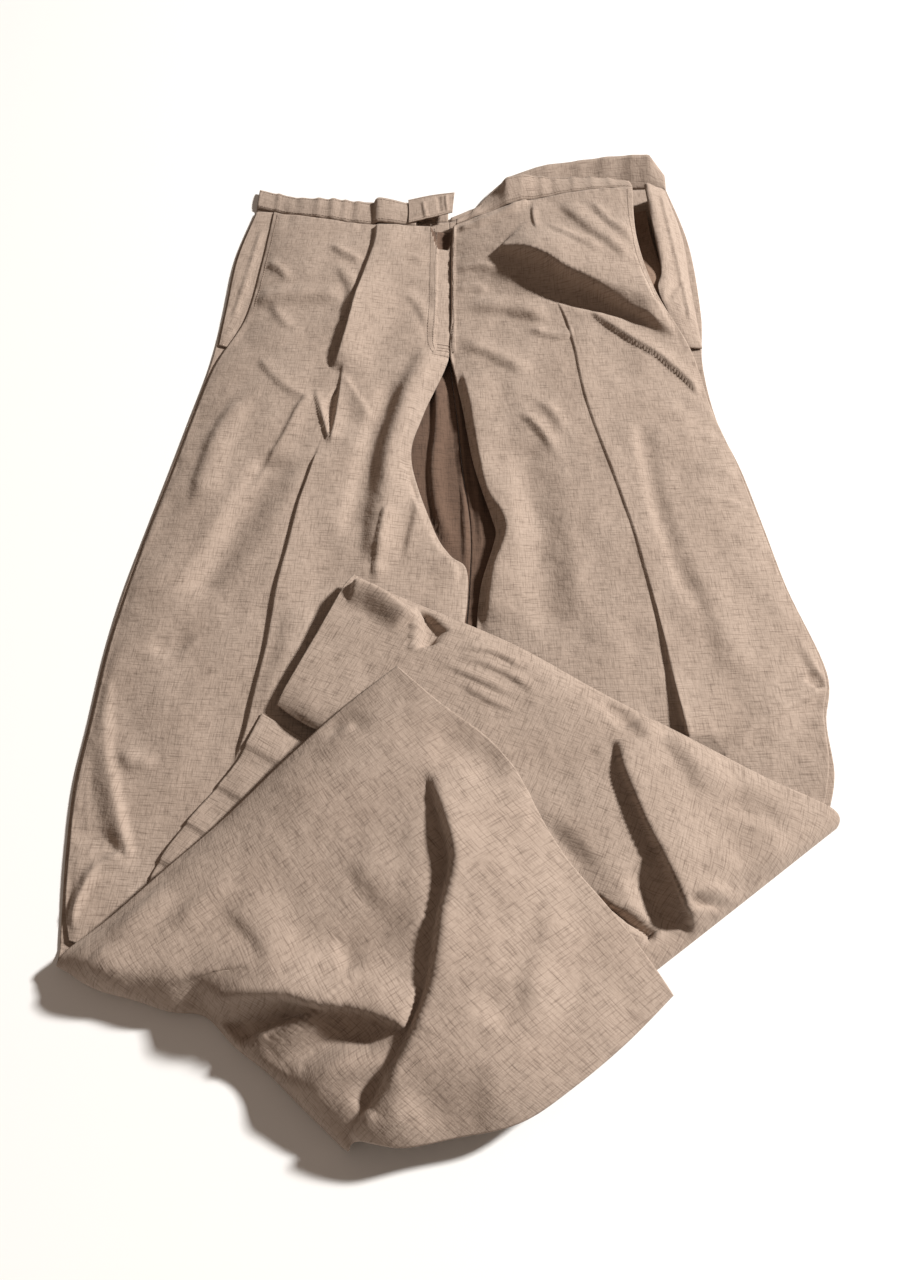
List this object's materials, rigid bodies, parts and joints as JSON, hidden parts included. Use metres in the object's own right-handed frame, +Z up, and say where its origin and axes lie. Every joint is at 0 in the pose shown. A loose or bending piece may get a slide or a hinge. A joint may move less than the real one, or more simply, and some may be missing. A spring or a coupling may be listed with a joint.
{
  "type": "linen trousers, laid flat with folded legs",
  "caption": "Wide-leg linen trousers with slant pockets and a tabbed waistband, laid flat with both lower legs folded up across each other.",
  "frame": {"origin": "middle of the laid garment, on the surface it lies on", "axes": "+Z up from the surface, +Y towards the waist, +X to the wearer's left"},
  "size_m": [0.514, 0.9146, 0.0579],
  "materials": {
    "linen_legs": "slub plain weave, matte",
    "linen_waistband": "slub plain weave, double and pressed",
    "linen_pockets": "slub plain weave, matte",
    "linen_hems": "slub plain weave, turned up and stitched",
    "linen_hidden": "slub plain weave, layered"
  },
  "bodies": {
    "root": {"back_leg_right": "linen_legs", "back_leg_left": "linen_legs", "front_leg_right": "linen_legs", "front_leg_left": "linen_legs", "side_piece_right": "linen_pockets", "side_piece_left": "linen_pockets", "waistband_front_right": "linen_waistband", "waistband_front_left": "linen_waistband", "waistband_back_right": "linen_waistband", "waistband_back_left": "linen_waistband", "waistband_tab": "linen_waistband", "fly_placket": "linen_legs", "hem_leg_right": "linen_hems", "hem_leg_left": "linen_hems", "under_hem_leg_left": "linen_hems", "hidden_layers_right_leg": "linen_hidden", "hidden_layers_left_leg": "linen_hidden"}
  },
  "joints": []
}
